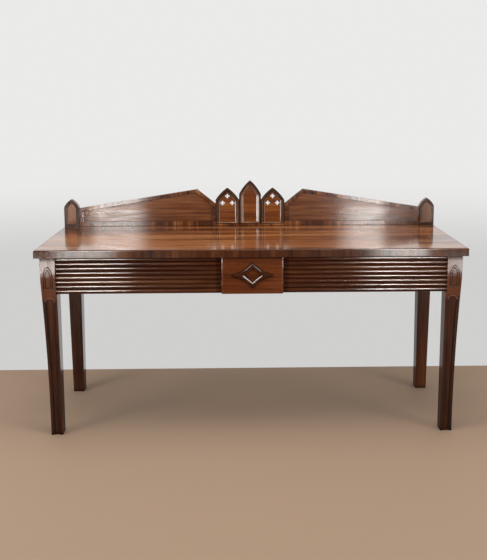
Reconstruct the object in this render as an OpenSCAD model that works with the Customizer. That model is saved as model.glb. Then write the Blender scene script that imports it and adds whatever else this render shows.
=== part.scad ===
// Gothic serving table with a galleried back, in millimetres.
// The origin is on the floor under the middle of the top. +X is to the right and the front faces -Y.

/* [Table top] */
// Length of the top from end to end
top_w = 2000; // [1700:10:2400]
// Depth of the top from front to back
top_d = 700; // [600:10:850]
// Height of the top's upper surface above the floor
top_h = 900; // [800:5:1000]
// Thickness of the top
top_t = 37; // [30:1:50]
// Thickness of the cross-grained lipping on the top's edges
lip_t = 6; // [3:1:12]
// Overhang of the top past the leg heads at the front and the ends
overhang = 22; // [12:1:40]
// Overhang of the top past the leg heads at the back
back_overhang = 30; // [10:1:50]

/* [Legs] */
// Width of a leg at its head
leg_w = 70; // [64:1:85]
// Shoulder by which a front leg is wider just under the frieze
leg_shoulder = 4.5; // [0.5:0.5:8]
// Width of a front leg at the floor
front_foot_w = 55; // [46:1:66]
// Inward sweep of a front leg's two outer faces, from head to floor
leg_sweep = 21; // [5:1:30]
// Plumb part of a front leg's head, below the top
plumb_h = 63; // [40:1:90]
// Height over which the sweep sets in below that part
ease_h = 70; // [30:1:90]
// Width of a rear leg at the floor
rear_foot_w = 57; // [46:1:64]
// Plain wood on each side of the sunk channel down a front leg
channel_margin = 16; // [10:1:18]
// Depth of the sunk channel
channel_depth = 5; // [2:0.5:6]
// Width of the step round the channel
channel_step_w = 4; // [2:0.5:6]
// Depth of that step
channel_step_depth = 2; // [1:0.5:3]
// Plain neck between the frieze's lower edge and the channel
neck_h = 20; // [10:1:40]
// Radius of the channel's rounded upper end
channel_end_r = 34; // [30:1:80]
// Width of the lancet sunk in a front leg's head
leg_lancet_w = 44; // [36:1:50]
// Height of that lancet
leg_lancet_h = 112; // [80:1:120]
// Height of the lancet's pointed part
leg_lancet_rise = 40; // [25:1:50]
// Bulge of the lancet's arcs
leg_lancet_bulge = 4; // [2:0.5:6]
// Distance from the top's underside down to the lancet's point
leg_lancet_drop = 42; // [20:1:50]
// Width of the band between the lancet's outer groove and its sunk field
leg_lancet_band = 9; // [6:0.5:11]
// Width of the lancet's two grooves
leg_groove_w = 3.5; // [1.5:0.5:4]
// Depth of those grooves
leg_groove_depth = 3; // [2:0.5:3.5]
// Depth of the lancet's sunk field
leg_field_depth = 1.5; // [0.5:0.5:2]

/* [Frieze] */
// Height of the frieze rails
frieze_h = 175; // [150:1:200]
// Thickness of the rails
rail_t = 24; // [20:1:28]
// Set-back of the front rail behind the faces of the leg heads
front_rail_set = 20; // [18:1:24]
// Set-back of the end rails behind the faces of the leg heads
end_rail_set = 14; // [10:1:18]
// Set-back of the back rail behind the faces of the leg heads
back_rail_set = 6; // [2:1:18]
// Number of reeds on each reeded panel
reed_count = 8; // [6:1:10]
// Flat fillet above and below the reeds
reed_fillet = 2.5; // [1:0.5:5]
// Depth of the hollows between the reeds
reed_hollow = 8; // [4:0.5:9]
// Thickness of a reeded panel behind its hollows
reed_back_t = 4; // [2:0.5:6]
// Width of the plain tablet in the middle of the frieze
tablet_w = 288; // [240:1:340]
// Thickness of the tablet
tablet_t = 26; // [18:1:30]
// Radius of the tablet's rounded upright edges
tablet_r = 9; // [4:1:14]
// Width of the lozenge on the tablet, point to point
lozenge_w = 194; // [170:1:220]
// Height of the lozenge, point to point
lozenge_h = 118; // [112:1:140]
// Thickness of the lozenge
lozenge_t = 9; // [7:0.5:12]
// Depth of the hollow in each of the lozenge's sides
lozenge_hollow = 10; // [4:0.5:11]
// Width of the bevel round the lozenge's outer edge
lozenge_bevel = 4; // [2:0.5:6]
// Width of the opening in the lozenge, point to point
diamond_w = 80; // [60:1:84]
// Height of that opening, point to point
diamond_h = 66; // [50:1:70]
// Width of the bevel round that opening
diamond_bevel = 4.5; // [3:0.5:6.5]

/* [Frame joints] */
// Length of a rail's tenon
tenon_l = 30; // [18:1:32]
// Thickness of a rail's tenon
tenon_t = 10; // [6:1:14]
// Shoulder above and below a tenon
tenon_shoulder = 18; // [8:1:30]
// Clearance round tenons, housings, dowels, screws and rebated panels
joint_gap = 0.2; // [0.1:0.05:0.4]
// Distance from the middle of the table to the outer bearers
bearer_pitch = 450; // [300:10:600]
// Width of a bearer under the top
bearer_w = 46; // [36:1:60]
// Height of a bearer
bearer_h = 32; // [24:1:40]
// Depth of a bearer's housing in the rails
bearer_housing = 10; // [6:1:14]
// Reach of a corner brace along each rail
brace_reach = 130; // [90:1:160]
// Height of a corner brace
brace_h = 42; // [30:1:60]
// Distance from the top's underside down to a corner brace
brace_drop = 50; // [20:1:70]
// Length of a glue block
glue_block_l = 90; // [60:1:140]
// Side of a glue block's triangular section
glue_block_w = 28; // [18:1:40]
// Diameter of a top screw's shank
screw_d = 5; // [4:0.5:6]
// Diameter of a top screw's head
screw_head_d = 10; // [8:0.5:12]
// Height of a top screw's head
screw_head_h = 3; // [2:0.5:4]
// Length of the screw's grip in the top
screw_grip = 22; // [15:1:26]
// Depth of the counterbore that takes the screw's head
screw_recess = 9; // [6:1:14]
// Distance from a bearer's end to its screw
screw_inset = 110; // [60:5:200]

/* [Gallery] */
// Width of an end post
post_w = 79; // [72:1:100]
// Depth of an end post
post_d = 30; // [28:1:60]
// Height of an end post to its point
post_h = 148; // [138:1:190]
// Height of the pointed part of an end post
post_rise = 44; // [32:1:50]
// Bulge of the arcs of an end post's point
post_bulge = 5; // [3:0.5:9]
// Flat border round the sunk face of an end post
post_border = 8; // [5:0.5:10]
// Flat ledge round the field of that face
post_ledge = 4; // [2:0.5:6]
// Height of the fillet along the foot of an end post
post_fillet_h = 9; // [5:1:14]
// Thickness of that fillet
post_fillet_t = 3; // [1:0.5:5]
// Thickness of a gallery board
board_t = 20; // [16:1:26]
// Height of the gallery at the end posts
low_h = 99; // [85:1:120]
// Height of the gallery at its two peaks
peak_h = 200; // [170:1:230]
// Distance from the arcade to a peak
peak_run = 98; // [60:1:140]
// Height of the gallery where it meets the arcade
inner_h = 121; // [100:1:130]
// Depth of the capping along the slopes
cap_h = 19; // [10:1:22]
// Height of the banding along a board's foot
base_band_h = 24; // [16:1:32]
// Width of the banding up a board's two ends
end_band_w = 24; // [14:1:34]
// Thickness of the bandings, which the cappings stand proud by
band_t = 3; // [1.5:0.5:4]
// Diameter of the dowels that hold the gallery
dowel_d = 8; // [6:0.5:10]
// Length of those dowels
dowel_l = 36; // [24:1:44]

/* [Arcade] */
// Thickness of the three arches
arch_t = 24; // [22:1:30]
// Width of the middle arch
centre_arch_w = 118; // [112:1:140]
// Height of the middle arch to its point
centre_arch_h = 246; // [225:1:280]
// Height of the middle arch's pointed part
centre_arch_rise = 76; // [70:1:95]
// Bulge of the middle arch's arcs
centre_arch_bulge = 5.5; // [4:0.5:9]
// Width of the reveal round the middle arch's panel
centre_reveal = 13; // [8:1:17]
// Depth of the middle arch's panel behind its face
centre_depth = 12; // [9:1:16]
// Width of a side arch
side_arch_w = 127; // [124:1:140]
// Height of a side arch to its point
side_arch_h = 206; // [201:1:230]
// Height of a side arch's pointed part
side_arch_rise = 66; // [60:1:72]
// Bulge of a side arch's arcs
side_arch_bulge = 5; // [4:0.5:8]
// Width of the reveal round a side arch's panel
side_reveal = 5.5; // [2:0.5:6]
// Depth of a side arch's panel behind its face
side_depth = 7; // [5:0.5:10]
// Flat fillet round the outside of each arch
rim_fillet = 6; // [4:0.5:7]
// Width and depth of the bevel inside that fillet
rim_bevel = 3; // [2:0.5:4]
// Flat ledge between the bevel and the reveal of the middle arch
centre_ledge = 3; // [2:0.5:6]
// Flat ledge between the bevel and the reveal of a side arch
side_ledge = 7.5; // [5:0.5:8.5]
// Height of an arch's sill at its ledge
sill_h = 18; // [16:0.5:22]
// Rise of an arch's sill towards its panel for each millimetre of depth
sill_slope = 0.3; // [0.2:0.05:0.8]
// Height of the plinth strip along the foot of the arcade
plinth_h = 11; // [6:1:13]
// Thickness of the plinth strip
plinth_t = 4; // [2:0.5:6]
// Width of the rebate that takes a panel's edge
rebate_w = 4; // [2:0.5:6]
// Size of a pierced quatrefoil from lobe to lobe
quatrefoil_w = 25; // [18:0.5:26]
// Radius of a quatrefoil's lobes as a share of its size
lobe_share = 0.19; // [0.17:0.01:0.24]
// Width of the chamfer round a quatrefoil
quatrefoil_chamfer = 1.5; // [0.5:0.25:2]
// Height of the upper quatrefoil above the table
upper_quatrefoil_h = 160; // [154:1:162]
// Height of the lower two quatrefoils above the table
lower_quatrefoil_h = 123; // [110:1:126]
// Distance of each lower quatrefoil from the middle of its arch
lower_quatrefoil_x = 26; // [22:0.5:27]

/* [Hidden] */
$fn = 96;

// Overshoot of a cut past the face that it opens
cut = 1;
// Number of straight steps along a swept leg, and where its sweep sets in
sweep_steps = 16;
ease_steps = 8;

// Main levels and faces
under_top = top_h - top_t;
frieze_z = under_top - frieze_h;
front_y = -top_d / 2;
back_y = top_d / 2;
leg_x = top_w / 2 - overhang;
leg_front_y = front_y + overhang;
leg_back_y = back_y - back_overhang;
rail_x = leg_x - leg_w;
front_rail_y = leg_front_y + front_rail_set;
back_rail_y = leg_back_y - back_rail_set;

// Sweep of a front leg, which fades towards the floor
ease_top = under_top - plumb_h;
ease_foot = ease_top - ease_h;
sweep_slope = 2 * leg_sweep / ease_top;

// Frieze
reed_pitch = (frieze_h - 2 * reed_fillet) / reed_count;
reed_r = (pow(reed_pitch / 2, 2) + pow(reed_hollow, 2)) / (2 * reed_hollow);
reed_panel_t = reed_back_t + reed_hollow;
reed_panel_l = rail_x - tablet_w / 2;

// Frame joints
tenon_h = frieze_h - 2 * tenon_shoulder;
bearer_l = back_rail_y - front_rail_y - 2 * rail_t + 2 * bearer_housing;
bearer_y = front_rail_y + rail_t - bearer_housing;
screw_l = bearer_h - screw_recess + screw_grip;

// Gallery, measured from the back edge of the top's surface
arcade_half = centre_arch_w / 2 + side_arch_w;
post_x = top_w / 2 - post_w;
peak_x = arcade_half + peak_run;
side_arch_x = centre_arch_w / 2 + side_arch_w / 2;
long_slope = (peak_h - low_h) / (post_x - peak_x);
short_slope = (peak_h - inner_h) / peak_run;
long_drop = cap_h * norm([1, long_slope]);
short_drop = cap_h * norm([1, short_slope]);
mitre_x = peak_x - (long_drop - short_drop) / (long_slope + short_slope);
mitre_h = short_line(mitre_x) - short_drop;
rim_edge = rim_fillet + rim_bevel;
centre_inset = rim_edge + centre_ledge + centre_reveal;
side_inset = rim_edge + side_ledge + side_reveal;

// Sills of the reveals, which rise towards the panels
centre_sill = sill_h + (centre_depth - rim_bevel) * sill_slope;
side_sill = sill_h + (side_depth - rim_bevel) * sill_slope;

// Dowels, as points on the top's surface
post_dowels = [for (side = [-1, 1], k = [-1, 1])
    [side * (post_x + post_w / 2) + k * post_w / 4, back_y - post_d / 2]];
board_dowels = [for (side = [-1, 1], k = [0 : 3])
    [side * (arcade_half + (post_x - arcade_half) * (k + 0.5) / 4), back_y - board_t / 2]];
centre_dowels = arch_dowels(0, centre_arch_w, centre_inset);
left_dowels = arch_dowels(-side_arch_x, side_arch_w, side_inset);
right_dowels = arch_dowels(side_arch_x, side_arch_w, side_inset);
all_dowels = concat(post_dowels, board_dowels, centre_dowels, left_dowels, right_dowels);

// Finishes
mahogany = "#5c2a14";
dark_mahogany = "#431c0e";
secondary_wood = "#8a6038";
iron = "#4a4644";

// Height of the gallery's long slope and short slope at a distance from the middle of the table
function long_line(x) = low_h + (post_x - x) * long_slope;
function short_line(x) = inner_h + (x - arcade_half) * short_slope;

// The two dowels under an arch stand in the middle of its stiles
function arch_dowels(x, w, inset) = [for (k = [-1, 1])
    [x + k * (w / 2 - (inset - rebate_w) / 2), back_y - arch_t / 2]];

// Radius and centre of the right-hand arc of a lancet, measured from the middle of its springing line
function lancet_r(w, rise, bulge) = (w * w / 4 + rise * rise) / (8 * bulge) + bulge / 2;
function lancet_c(w, rise, bulge) =
    let (chord = norm([w / 2, rise]), reach = lancet_r(w, rise, bulge) - bulge)
    [w / 4 - reach * rise / chord, rise / 2 - reach * w / 2 / chord];

// Outward reach of a front leg's swept faces past its foot, at a height
function leg_reach(z) =
    z < ease_foot ? sweep_slope * z * z / (2 * ease_foot)
    : z < ease_top ? sweep_slope * (z - ease_foot / 2 - pow(z - ease_foot, 2) / (2 * ease_h))
    : leg_sweep;

// Distance of a front leg's outer and inner faces from the outer face of its head
function leg_outer(z) = leg_sweep - leg_reach(z);
function leg_inner(z) =
    let (below = leg_w + leg_shoulder)
    below + (leg_sweep + front_foot_w - below) * (1 - pow(z / frieze_z, 2));
function outer_levels() = concat(
    [for (k = [0 : sweep_steps]) ease_foot * k / sweep_steps],
    [for (k = [1 : ease_steps]) ease_foot + ease_h * k / ease_steps],
    [under_top]);
function inner_levels() = [for (k = [0 : sweep_steps]) frieze_z * k / sweep_steps];
function reversed(points) = [for (k = [len(points) - 1 : -1 : 0]) points[k]];

// Lancet outline, upright on the X axis, drawn in from its edge by an even inset
module lancet(w, h, rise, bulge, inset = 0, sill = 0) {
    r = lancet_r(w, rise, bulge) - inset;
    c = lancet_c(w, rise, bulge);
    shoulder = h - rise + c[1];
    intersection() {
        translate([inset - w / 2, sill]) square([w - 2 * inset, h - sill]);
        union() {
            translate([-w / 2, 0]) square([w, shoulder]);
            intersection_for (side = [-1, 1]) translate([side * c[0], shoulder]) circle(r);
        }
    }
}

// Wood to remove for a splayed lancet reveal that starts at y = 0 and narrows towards +Y
module reveal(w, h, rise, bulge, insets, sills, depth) {
    c = lancet_c(w, rise, bulge);
    shoulder = h - rise + c[1];
    run = depth + cut;
    front = insets[0] - (insets[1] - insets[0]) * cut / depth;
    front_sill = sills[0] - (sills[1] - sills[0]) * cut / depth;
    r = lancet_r(w, rise, bulge);
    translate([0, -cut, 0]) intersection() {
        linear_extrude(h)
            polygon([[front - w / 2, 0], [w / 2 - front, 0],
                     [w / 2 - insets[1], run], [insets[1] - w / 2, run]]);
        translate([-w / 2, 0, 0]) rotate([90, 0, 90]) linear_extrude(w)
            polygon([[0, front_sill], [run, sills[1]], [run, h], [0, h]]);
        union() {
            translate([-w / 2, 0, 0]) cube([w, run, shoulder]);
            intersection_for (side = [-1, 1])
                translate([side * c[0], 0, shoulder]) rotate([-90, 0, 0])
                    cylinder(h = run, r1 = r - front, r2 = r - insets[1]);
        }
    }
}

// Upright slab of a flat outline, with its back on y = 0 and its face towards -Y
module upright(t) {
    rotate([90, 0, 0]) linear_extrude(t) children();
}

// Places the gallery's pieces on the back edge of the top
module on_gallery(x = 0) {
    translate([x, back_y, top_h]) children();
}

// Right-hand pieces are mirror images of the left-hand ones
module on_side(side) {
    mirror([side < 0 ? 0 : 1, 0, 0]) children();
}

// Cuts the dowel holes that rise or fall from the top's surface
module dowel_holes(points) {
    for (p = points)
        translate([p[0], p[1], top_h - dowel_l / 2 - cut])
            cylinder(h = dowel_l + 2 * cut, d = dowel_d + 2 * joint_gap);
}

// Table top
module top_board() {
    color(mahogany) difference() {
        translate([-top_w / 2 + lip_t, front_y + lip_t, under_top])
            cube([top_w - 2 * lip_t, top_d - lip_t, top_t]);
        dowel_holes(all_dowels);
        for (x = [-1, 0, 1], y = screw_rows())
            translate([x * bearer_pitch, y, under_top - cut])
                cylinder(h = screw_grip + 2 * cut, d = screw_d + 2 * joint_gap);
    }
}

module top_front_lipping() {
    color(dark_mahogany) translate([-top_w / 2, front_y, under_top]) cube([top_w, lip_t, top_t]);
}

module top_end_lipping(side) {
    color(dark_mahogany) on_side(side)
        translate([-top_w / 2, front_y + lip_t, under_top]) cube([lip_t, top_d - lip_t, top_t]);
}

// Rails with a tenon at each end
module tenoned_rail(length) {
    translate([-length / 2, 0, 0]) cube([length, rail_t, frieze_h]);
    translate([-length / 2 - tenon_l, (rail_t - tenon_t) / 2, tenon_shoulder])
        cube([length + 2 * tenon_l, tenon_t, tenon_h]);
}

// Housings for the bearers' ends, open at the upper edge of a long rail
module bearer_housings() {
    for (x = [-1, 0, 1])
        translate([x * bearer_pitch - bearer_w / 2 - joint_gap, bearer_y - joint_gap, under_top - bearer_h])
            cube([bearer_w + 2 * joint_gap, bearer_l + 2 * joint_gap, bearer_h + cut]);
}

module front_rail() {
    color(secondary_wood) difference() {
        translate([0, front_rail_y, frieze_z]) tenoned_rail(2 * rail_x);
        bearer_housings();
    }
}

module back_rail() {
    color(mahogany) difference() {
        translate([0, back_rail_y - rail_t, frieze_z]) tenoned_rail(2 * rail_x);
        bearer_housings();
    }
}

module end_rail(side) {
    length = leg_back_y - leg_front_y - 2 * leg_w;
    color(mahogany) on_side(side)
        translate([-leg_x + end_rail_set, (leg_front_y + leg_back_y) / 2, frieze_z])
            rotate(-90) tenoned_rail(length);
}

// Mortises in a leg's head, with the leg's outer corner on the Z axis
module mortises(face_set) {
    deep = tenon_l + joint_gap;
    thick = tenon_t + 2 * joint_gap;
    tall = tenon_h + 2 * joint_gap;
    z = frieze_z + tenon_shoulder - joint_gap;
    translate([leg_w - deep, face_set + (rail_t - thick) / 2, z]) cube([deep + leg_sweep, thick, tall]);
    translate([end_rail_set + (rail_t - thick) / 2, leg_w - deep, z]) cube([thick, deep + leg_sweep, tall]);
}

// Solid common to one outline seen from the front and another seen from the end
module crossed_outlines(front, end) {
    reach = leg_w + leg_sweep + front_foot_w;
    intersection() {
        translate([0, reach, 0]) rotate([90, 0, 0]) linear_extrude(2 * reach) children(front);
        translate([-reach, 0, 0]) rotate([90, 0, 90]) linear_extrude(2 * reach) children(end);
    }
}

// Outline of a swept front leg, drawn in by a margin
module swept_outline(margin = 0) {
    polygon(concat(
        [for (z = outer_levels()) [leg_outer(z) + margin, z]],
        [[leg_w - margin, under_top], [leg_w - margin, frieze_z]],
        reversed([for (z = inner_levels()) [leg_inner(z) - margin, z]])));
}

// Skin of even depth inside a front leg's swept face
module swept_skin(depth) {
    polygon(concat(
        [for (z = outer_levels()) [leg_outer(z) - cut, z]],
        reversed([for (z = outer_levels()) [leg_outer(z) + depth, z]])));
}

// Sunk channel down the face of a front leg, with a rounded upper end, drawn out by an even step
module channel_outline(step) {
    end_z = frieze_z - neck_h + step;
    middle = (leg_outer(end_z) + leg_inner(end_z)) / 2;
    intersection() {
        swept_outline(channel_margin - step);
        union() {
            translate([middle, end_z - channel_end_r]) circle(channel_end_r);
            translate([0, -cut]) square([2 * middle, end_z - channel_end_r + cut]);
        }
    }
}

// Lancet in the head of a front leg, and a groove along its edge
module leg_lancet(inset) {
    translate([leg_w / 2, under_top - leg_lancet_drop - leg_lancet_h])
        lancet(leg_lancet_w, leg_lancet_h, leg_lancet_rise, leg_lancet_bulge, inset, inset);
}

module leg_groove(inset) {
    difference() {
        leg_lancet(inset);
        leg_lancet(inset + leg_groove_w);
    }
}

module front_leg(side) {
    color(mahogany) on_side(side) translate([-leg_x, leg_front_y, 0]) difference() {
        crossed_outlines(0, 0) swept_outline();
        crossed_outlines(0, 1) {
            channel_outline(channel_step_w);
            swept_skin(channel_step_depth);
        }
        crossed_outlines(0, 1) {
            channel_outline(0);
            swept_skin(channel_depth);
        }
        crossed_outlines(0, 1) {
            leg_lancet(leg_lancet_band);
            swept_skin(leg_field_depth);
        }
        for (inset = [0, leg_lancet_band])
            crossed_outlines(0, 1) {
                leg_groove(inset);
                swept_skin(leg_groove_depth);
            }
        mortises(front_rail_set);
    }
}

// Straight taper of a rear leg, on its two outer faces
module tapered_outline() {
    polygon([[leg_w - rear_foot_w, 0], [leg_w, 0], [leg_w, under_top], [0, under_top], [0, frieze_z]]);
}

module rear_leg(side) {
    color(mahogany) on_side(side) translate([-leg_x, leg_back_y, 0]) mirror([0, 1, 0]) difference() {
        crossed_outlines(0, 0) tapered_outline();
        mortises(back_rail_set);
    }
}

// Reeded panel on one half of the frieze
module reeded_panel(side) {
    color(mahogany) on_side(side) translate([-rail_x, front_rail_y - reed_panel_t, frieze_z]) intersection() {
        cube([reed_panel_l, reed_panel_t, frieze_h]);
        union() {
            translate([0, reed_hollow, 0]) cube([reed_panel_l, reed_back_t, frieze_h]);
            for (k = [0 : reed_count - 1])
                translate([0, reed_r, reed_fillet + (k + 0.5) * reed_pitch])
                    rotate([0, 90, 0]) cylinder(h = reed_panel_l, r = reed_r);
        }
    }
}

// Tablet with rounded upright edges
module centre_tablet() {
    color(mahogany) translate([0, front_rail_y, frieze_z]) linear_extrude(frieze_h) {
        translate([-tablet_w / 2, tablet_r - tablet_t]) square([tablet_w, tablet_t - tablet_r]);
        translate([tablet_r - tablet_w / 2, -tablet_t]) square([tablet_w - 2 * tablet_r, tablet_t]);
        for (side = [-1, 1])
            translate([side * (tablet_w / 2 - tablet_r), tablet_r - tablet_t]) circle(tablet_r);
    }
}

// Flat diamond, point to point
module diamond(w, h) {
    polygon([[-w / 2, 0], [0, -h / 2], [w / 2, 0], [0, h / 2]]);
}

// Lozenge with hollow bevelled sides round a bevelled opening
module lozenge() {
    half = [lozenge_w / 2, lozenge_h / 2];
    chord = norm(half);
    r = chord * chord / (8 * lozenge_hollow) + lozenge_hollow / 2;
    reach = r - lozenge_hollow;
    c = [half[0] / 2 + reach * half[1] / chord, half[1] / 2 + reach * half[0] / chord];
    slope = atan(diamond_h / diamond_w);
    side = diamond_h / 2 * cos(slope);
    flare = side + diamond_bevel + cut;
    color(mahogany)
        translate([0, front_rail_y - tablet_t, frieze_z + frieze_h / 2]) rotate([90, 0, 0]) difference() {
            linear_extrude(lozenge_t) diamond(lozenge_w, lozenge_h);
            for (x = [-1, 1], y = [-1, 1])
                translate([x * c[0], y * c[1], 0]) {
                    translate([0, 0, -cut]) cylinder(h = lozenge_t + 2 * cut, r = r);
                    translate([0, 0, lozenge_t - lozenge_bevel])
                        cylinder(h = lozenge_bevel + cut, r1 = r, r2 = r + lozenge_bevel + cut);
                }
            translate([0, 0, -cut]) linear_extrude(lozenge_t + 2 * cut) diamond(diamond_w, diamond_h);
            translate([0, 0, lozenge_t - diamond_bevel]) intersection_for (turn = [-slope, slope])
                rotate(turn) translate([-lozenge_w, 0, 0]) rotate([90, 0, 90]) linear_extrude(2 * lozenge_w)
                    polygon([[-side, 0], [side, 0], [flare, diamond_bevel + cut],
                             [-flare, diamond_bevel + cut]]);
        }
}

// Bearers that carry the top and take its screws
function screw_rows() = [bearer_y + screw_inset, bearer_y + bearer_l - screw_inset];

module bearer(place) {
    color(secondary_wood) difference() {
        translate([place * bearer_pitch - bearer_w / 2, bearer_y, under_top - bearer_h])
            cube([bearer_w, bearer_l, bearer_h]);
        for (y = screw_rows())
            translate([place * bearer_pitch, y, under_top - bearer_h]) {
                translate([0, 0, -cut]) cylinder(h = bearer_h + 2 * cut, d = screw_d + 2 * joint_gap);
                translate([0, 0, -cut]) cylinder(h = screw_recess + cut, d = screw_head_d + 2 * joint_gap);
            }
    }
}

module top_screws() {
    color(iron) for (x = [-1, 0, 1], y = screw_rows())
        translate([x * bearer_pitch, y, under_top - bearer_h + screw_recess]) {
            cylinder(h = screw_l, d = screw_d);
            translate([0, 0, -screw_head_h]) cylinder(h = screw_head_h, d = screw_head_d);
        }
}

// Corner brace, notched round the leg's inner corner
module brace(side, back) {
    edge_y = back ? leg_back_y - back_rail_set - rail_t : front_rail_y + rail_t;
    along = leg_w - end_rail_set - rail_t;
    across = leg_w - rail_t - (back ? back_rail_set : front_rail_set);
    color(secondary_wood) on_side(side)
        translate([-leg_x + end_rail_set + rail_t, edge_y, under_top - brace_drop - brace_h])
            mirror([0, back ? 1 : 0, 0]) linear_extrude(brace_h)
                polygon([[along, 0], [brace_reach, 0], [0, brace_reach], [0, across], [along, across]]);
}

// Triangular glue block in the angle between a long rail and the top
module glue_block(side, back) {
    edge_y = back ? leg_back_y - back_rail_set - rail_t : front_rail_y + rail_t;
    color(secondary_wood) on_side(side)
        translate([-(bearer_pitch + glue_block_l) / 2, edge_y, under_top]) mirror([0, back ? 1 : 0, 0])
            rotate([90, 0, 90]) linear_extrude(glue_block_l)
                polygon([[0, 0], [glue_block_w, 0], [0, -glue_block_w]]);
}

// Gallery end post with a sunk lancet on its face
module post(side) {
    ledge = post_border + rim_bevel;
    field = ledge + post_ledge;
    sill = sill_h + post_ledge;
    color(mahogany) difference() {
        on_gallery(side * (post_x + post_w / 2)) {
            difference() {
                upright(post_d) lancet(post_w, post_h, post_rise, post_bulge);
                translate([0, -post_d, 0]) {
                    reveal(post_w, post_h, post_rise, post_bulge, [post_border, ledge],
                           [sill_h - rim_bevel, sill_h], rim_bevel);
                    translate([0, rim_bevel, 0])
                        reveal(post_w, post_h, post_rise, post_bulge, [field, field + rim_bevel],
                               [sill, sill + rim_bevel], rim_bevel);
                }
            }
            translate([-post_w / 2, -post_d - post_fillet_t, 0]) cube([post_w, post_fillet_t, post_fillet_h]);
        }
        dowel_holes(post_dowels);
    }
}

// Gallery board, with slopes that leave room for the cappings
module gallery_board(side) {
    color(mahogany) difference() {
        on_gallery() on_side(side) upright(board_t)
            polygon([[-post_x, 0], [-arcade_half, 0], [-arcade_half, inner_h - short_drop],
                     [-mitre_x, mitre_h], [-post_x, low_h - long_drop]]);
        dowel_holes(board_dowels);
    }
}

module long_capping(side) {
    color(dark_mahogany) on_gallery() on_side(side) upright(board_t + band_t)
        polygon([[-post_x, low_h], [-post_x, low_h - long_drop], [-mitre_x, mitre_h], [-peak_x, peak_h]]);
}

module short_capping(side) {
    color(dark_mahogany) on_gallery() on_side(side) upright(board_t + band_t)
        polygon([[-arcade_half, inner_h], [-peak_x, peak_h], [-mitre_x, mitre_h],
                 [-arcade_half, inner_h - short_drop]]);
}

// Cross-grained bandings on the face of a gallery board
module banding(side) {
    color(dark_mahogany) on_gallery() translate([0, -board_t, 0]) on_side(side) upright(band_t) children();
}

module base_band(side) {
    banding(side) translate([-post_x, 0]) square([post_x - arcade_half, base_band_h]);
}

module inner_band(side) {
    edge = arcade_half + end_band_w;
    banding(side)
        polygon([[-edge, base_band_h], [-arcade_half, base_band_h], [-arcade_half, inner_h - short_drop],
                 [-edge, short_line(edge) - short_drop]]);
}

module outer_band(side) {
    edge = post_x - end_band_w;
    banding(side)
        polygon([[-post_x, base_band_h], [-edge, base_band_h], [-edge, long_line(edge) - long_drop],
                 [-post_x, low_h - long_drop]]);
}

// Arch with a stepped rim, a splayed reveal and a rebate for its panel
module arch(x, w, h, rise, bulge, ledge, inset, sill, depth, dowels) {
    color(mahogany) difference() {
        on_gallery(x) difference() {
            upright(arch_t) lancet(w, h, rise, bulge);
            translate([0, -arch_t, 0]) {
                reveal(w, h, rise, bulge, [rim_fillet, rim_edge], [sill_h - rim_bevel, sill_h], rim_bevel);
                translate([0, rim_bevel, 0])
                    reveal(w, h, rise, bulge, [rim_edge + ledge, inset], [sill_h, sill], depth - rim_bevel);
            }
            translate([0, cut, 0]) upright(arch_t - depth + cut)
                lancet(w, h, rise, bulge, inset - rebate_w, sill - rebate_w);
        }
        dowel_holes(dowels);
    }
}

// Flat panel that seats in an arch's rebate
module arch_panel(w, h, rise, bulge, inset, sill, depth) {
    seat = rebate_w - joint_gap;
    upright(arch_t - depth) lancet(w, h, rise, bulge, inset - seat, sill - seat);
}

module centre_arch() {
    arch(0, centre_arch_w, centre_arch_h, centre_arch_rise, centre_arch_bulge, centre_ledge,
         centre_inset, centre_sill, centre_depth, centre_dowels);
}

module centre_arch_panel() {
    color(mahogany) on_gallery()
        arch_panel(centre_arch_w, centre_arch_h, centre_arch_rise, centre_arch_bulge, centre_inset,
                   centre_sill, centre_depth);
}

module side_arch(side) {
    arch(side * side_arch_x, side_arch_w, side_arch_h, side_arch_rise, side_arch_bulge, side_ledge,
         side_inset, side_sill, side_depth, side < 0 ? left_dowels : right_dowels);
}

// Pierced quatrefoil with chamfered lobes, cut towards +Y from the face of a panel at y = 0
module quatrefoil() {
    lobe_r = quatrefoil_w * lobe_share;
    lobe_x = quatrefoil_w / 2 - lobe_r;
    run = arch_t + 2 * cut;
    rotate([-90, 0, 0]) {
        rotate(45) translate([0, 0, run / 2 - cut])
            cube([norm([lobe_x, lobe_x]), norm([lobe_x, lobe_x]), run], center = true);
        for (turn = [0 : 90 : 270]) rotate(turn) translate([lobe_x, 0, 0]) {
            translate([0, 0, -cut]) cylinder(h = run, r = lobe_r);
            translate([0, 0, -cut])
                cylinder(h = quatrefoil_chamfer + cut, r1 = lobe_r + quatrefoil_chamfer + cut, r2 = lobe_r);
        }
    }
}

module side_arch_panel(side) {
    color(mahogany) on_gallery(side * side_arch_x) difference() {
        arch_panel(side_arch_w, side_arch_h, side_arch_rise, side_arch_bulge, side_inset,
                   side_sill, side_depth);
        translate([0, side_depth - arch_t, 0]) {
            translate([0, 0, upper_quatrefoil_h]) quatrefoil();
            for (k = [-1, 1]) translate([k * lower_quatrefoil_x, 0, lower_quatrefoil_h]) quatrefoil();
        }
    }
}

module arcade_plinth() {
    color(dark_mahogany) on_gallery() translate([-arcade_half, -arch_t - plinth_t, 0])
        cube([2 * arcade_half, plinth_t, plinth_h]);
}

module gallery_dowels() {
    color(secondary_wood) for (p = all_dowels)
        translate([p[0], p[1], top_h - dowel_l / 2]) cylinder(h = dowel_l, d = dowel_d);
}

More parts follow.
